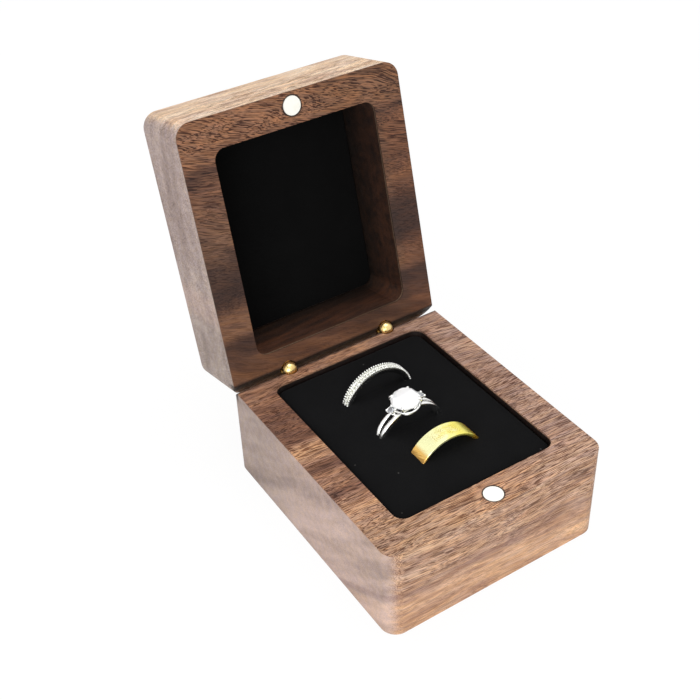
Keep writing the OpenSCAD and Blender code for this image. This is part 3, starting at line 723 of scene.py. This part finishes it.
# the strands' arc and the height where they part, the lower rail's height and the ring's outside
arc_r, split_z, rail_z, ring_r = 9.0, 2.2, 8.8, 9.8
girdle = ring_r + 1.8
cup_top, cup_turn = 11.0, 22.0
quarters = np.radians((45, 135, 225, 315))


def leaned(part):
    """A part in the solitaire's own upright frame, leaned over and set in its place."""
    points, faces = part
    c, s = math.cos(mount_lean), math.sin(mount_lean)
    return points @ np.array(((c, 0, -s), (0, 1, 0), (s, 0, c))) + mount_at, faces


# two strands over the top, which meet where the band goes into the pad
parts, claws = [], []
t = np.linspace(-math.radians(76), math.radians(76), 90)
for hand in (-1, 1):
    height = np.maximum(arc_r * np.cos(t) - split_z, 0)
    apart = 1.12 * (1 - np.exp(-height / 2.4)) + 0.42 * np.exp(-height / 1.6)
    path = np.stack((arc_r * np.sin(t), hand * apart, arc_r * np.cos(t)), -1)
    parts.append(silver_wire(path, 0.55, (0.0, 1.0, 0.0), sides=24, flat=1.55, square=0.6))

# the single band below, thinner at its ends
around = 28
a = np.linspace(math.radians(72), math.radians(288), 90)
taper = np.clip(np.minimum(a - a[0], a[-1] - a) / math.radians(8), 0, 1)[:, None] ** 0.5
v = np.linspace(0, 2 * math.pi, around, endpoint=False)
points, faces = patch(swept(a, arc_r + (0.35 + 0.44 * taper) * oval(np.sin(v)),
                            (0.75 + 0.25 * taper) * oval(np.cos(v))), False, True)
parts.append((points, faces + end_faces(points, around)))

# the gallery's two rails, and the four claws with their rounded tips
b = np.linspace(0, 2 * math.pi, 72, endpoint=False)
for level, r, w in ((girdle - 1.55, 3.40, 0.28), (rail_z, 2.40, 0.34)):
    rail = np.stack((r * np.cos(b), r * np.sin(b), np.full(72, level)), -1)
    parts.append(silver_wire(rail, w, (0.0, 0.0, 1.0), sides=12, closed=True))
rise = np.linspace(0, 1, 18)
level = rail_z + rise * (girdle + 0.72 - rail_z)
out = 2.4 + 1.5 * np.clip((level - rail_z) / 2.5, 0, 1) ** 0.9 - 0.62 * np.clip((rise - 0.80) / 0.20, 0, 1) ** 2
for turn in quarters:
    path = np.stack((out * math.cos(turn), out * math.sin(turn), level), -1)
    parts.append(silver_wire(path, 0.30 + 0.05 * (rise > 0.85), (-math.sin(turn), math.cos(turn), 0.0), sides=12))
    tip = ball(0.38, rows=8, around=12)
    claws.append((tip[0] * (1, 1, 0.8) + path[-1], tip[1]))

# a cup each side with four pegs, on a bar that joins it to the strands, and its small stone
cup_z = np.array((-1.2, -0.6, 0.0, 0.42, 0.5, 0.46, 0.1, 0.0))[:, None] + cup_top
cup_r = np.array((0.65, 0.85, 1.04, 1.12, 1.06, 0.90, 0.86, 0.3))[:, None]
half_b = b[::2]
sides = []
for hand in (-1, 1):
    spin = about_y(np.array([math.radians(hand * cup_turn)]))[0].T
    cup = np.stack((cup_r * np.cos(half_b), cup_r * np.sin(half_b), cup_z + 0 * half_b), -1)
    points, faces = patch(cup, False, True)
    parts.append((points @ spin, faces + [face[::-1] for face in end_faces(points, len(half_b))]))
    at_pegs = np.stack((1.1 * np.cos(quarters), 1.1 * np.sin(quarters), np.full(4, cup_top + 0.55)), -1)
    pegs = copies(ball(0.32, rows=6, around=10), np.repeat(np.eye(3)[None], 4, 0), at_pegs)
    claws.append((pegs[0] @ spin, pegs[1]))
    bar = silver_wire(np.stack((np.zeros(12), np.linspace(-1.1, 1.1, 12), np.full(12, rail_z)), -1), 0.42,
                      (0.0, 0.0, 1.0), sides=12)
    parts.append((bar[0] @ spin, bar[1]))
    tiny = brilliant(radius=0.84, crown=0.22, pavilion=0.5, table=0.48, girdle=0.06)
    sides.append(leaned(((tiny[0] + (0, 0, cup_top + 0.40)) @ spin, tiny[1])))
piece("solitaire_mount", [leaned(part) for part in parts], metal("polished_silver", **silver_look), "solitaire_ring",
      ("solitaire_shank",), 50)
piece("solitaire_claws", [leaned(part) for part in claws], bright, "solitaire_ring", ("solitaire_shank",), 50)

big_r = 3.6
big = brilliant(radius=big_r, crown=1.65, pavilion=2.0, table=0.6 * big_r, girdle=0.4)
piece("large_brilliant", [leaned(shifted(big, (0, 0, girdle - 0.05)))],
      stone_finish("large_clear_stone", rgb(250, 251, 252), rough=0.02, clear=0.2, painted_glow=0.22, dark_below=33.3),
      "solitaire_ring", ("centre_stone",), 5)
piece("side_brilliants", sides,
      stone_finish("side_clear_stone", rgb(168, 172, 178), rough=0.02, clear=0.4, painted_glow=0.0),
      "solitaire_ring", ("side_stones",), 5)

# ---------------------------------------------------------------------------
# The wide band: yellow gold, flat outside and domed inside for comfort, with
# its edges broken, polished by hand, and a fine worn scroll over its top.
gold_at = np.array((1.5, -12.3, 19.9))
R, inner, half = 9.9, 8.6, 2.6
v = np.linspace(-1, 1, 25)
across = np.linspace(-1, 1, 13)
domed = np.stack((inner + 0.7 * np.abs(v) ** 3.0, v * (half - 0.06)), -1)
edge = np.array(((R - 0.24, half), (R - 0.09, half - 0.05), (R - 0.02, half - 0.15)))
face = np.stack((np.full(13, R) - 0.02 * across ** 2, -across * (half - 0.22)), -1)
profile = np.vstack((domed, [(inner + 0.82, half)], edge, face, edge[::-1] * (1, -1), [(inner + 0.82, -half)]))
points, faces = patch(swept(np.linspace(0, 2 * math.pi, 200, endpoint=False), profile[:, 0], profile[:, 1]), True, True)

f = Finish("yellow_gold")
x, y, z = f.place(tuple((-gold_at).tolist()))
round_way = f.node("Math", {"operation": "ARCTAN2"}, x, z) * R
from_top = abs(round_way)
marks = f.noise(round_way / 2.5, y / 0.10, 0.0, 3.0, 0.6)
# the scroll: rings of a wave, worn away in places and faded out towards the edges
curl_at = f.node("CombineXYZ", None, round_way / 2.6, (y + f.sine(round_way * 1.6) * 0.5) / 2.0, 0.0)
curl = f.node("TexWave", {"wave_type": "RINGS", "rings_direction": "SPHERICAL"}, Vector=curl_at, Scale=1.6,
              Distortion=3.5, Detail=1.0, Detail_Scale=1.2)
worn = f.noise(round_way / 1.1, y / 1.1, 3.0, 3.0, 0.6)
fade = f.below(from_top, 2.8, 4.8) * f.below(abs(y), 1.2, 1.8)
cutline = f.below(curl, 0.10, 0.24) * fade * f.between(worn, 0.36, 0.48)
# painted light and shade: paler to the left as a painted highlight, and amber and brown
# where the band meets the pad as painted shade, the pad's dark reflection
patches = f.noise(round_way / 3.0 + 4, y / 1.6, 0.0, 2.0, 0.5)
streaks = f.noise(round_way / 0.45 + y * 0.9, y / 7, 2.0, 2.0, 0.6)
side_shade = (f.between(from_top, 6.8, 8.2) * f.below(from_top, 10.2, 12.5) * 0.75
         + f.between(streaks, 0.56, 0.62) * f.between(from_top, 6.2, 7.4) * 0.4)
pad_shade = f.between(from_top + (streaks - 0.5) * 3.0, 8.4, 9.4) * f.below(from_top, 10.2, 11.6) * 0.6
shade = f.mix(f.between(round_way + (patches - 0.5) * 12, -3.0, 4.0), rgb(255, 254, 196), rgb(255, 243, 112))
for share, tone in ((side_shade, rgb(232, 164, 28)), (pad_shade, rgb(120, 74, 14)), (cutline * 0.75, rgb(206, 160, 52))):
    shade = f.mix(share, shade, tone)
gold = f.done(Base_Color=shade, Metallic=0.75, Roughness=0.22 + marks * 0.12,
              Normal=f.node("Bump", None, Strength=0.35, Distance=0.00004, Height=marks * 0.35 - cutline))
piece("wide_gold_band", [(points + gold_at, faces)], gold, "gold_ring", ("gold_band",), 30)

# ---------------------------------------------------------------------------
# The studio: white paper on the bench, an even white room, one large soft
# lamp at the front left and one above.
paper = bpy.data.objects.new("paper", bpy.data.meshes.new("paper"))
paper.data.from_pydata([(-3, -3, 0), (3, -3, 0), (3, 3, 0), (-3, 3, 0)], [], [(0, 1, 2, 3)])
scene.collection.objects.link(paper)
f = Finish("white_paper")
x, y, z = f.place()
tooth = f.noise(x / 0.5, y / 0.5, z, 3.0, 0.6)
sheet = f.node("BsdfPrincipled", None, Base_Color=f.mix(tooth, rgb(232, 232, 232), rgb(240, 240, 240)), Roughness=0.9)
glow = f.node("Emission", None, (1, 1, 1, 1), 1.03)
seen = f.node("LightPath", out="Is Camera Ray")
mirrored = f.node("LightPath", out="Is Glossy Ray")
through = f.node("LightPath", out="Is Transmission Ray")
f.node_output(f.node("MixShader", None, seen * 0.9 + (mirrored + through) * 0.4, sheet, glow))
paper.data.materials.append(f.material)

world = bpy.data.worlds.new("white_room")
scene.world = world
world.use_nodes = True
tree = world.node_tree
tree.nodes.clear()
ray = tree.nodes.new("ShaderNodeLightPath")
direct = tree.nodes.new("ShaderNodeMath")
indirect = tree.nodes.new("ShaderNodeMath")
direct.operation = indirect.operation = "MAXIMUM"
strength = tree.nodes.new("ShaderNodeMapRange")
strength.inputs["To Min"].default_value = 0.55
strength.inputs["To Max"].default_value = 1.0
air = tree.nodes.new("ShaderNodeBackground")
air.inputs["Color"].default_value = (1, 1, 1, 1)
end = tree.nodes.new("ShaderNodeOutputWorld")
for output, socket in (
        (ray.outputs["Is Glossy Ray"], indirect.inputs[0]),
        (ray.outputs["Is Transmission Ray"], indirect.inputs[1]),
        (ray.outputs["Is Camera Ray"], direct.inputs[0]),
        (indirect.outputs[0], direct.inputs[1]),
        (direct.outputs[0], strength.inputs["Value"]),
        (strength.outputs[0], air.inputs["Strength"]),
        (air.outputs[0], end.inputs[0])):
    tree.links.new(output, socket)


def lamp(name, place, aim, width, power):
    """A square soft lamp that faces a point."""
    light = bpy.data.lights.new(name, "AREA")
    light.size, light.energy = width, power
    obj = bpy.data.objects.new(name, light)
    obj.location = place
    away = np.array(place) - np.array(aim)
    obj.rotation_euler = (math.atan2(math.hypot(away[0], away[1]), away[2]), 0, math.atan2(away[0], -away[1]))
    scene.collection.objects.link(obj)


lamp("front_left_lamp", (-0.66, -0.76, 0.40), (0, 0, 0.03), width=0.7, power=6.6)
lamp("top_lamp", (0.15, 0.05, 1.1), (0, 0, 0.03), width=0.8, power=4.4)
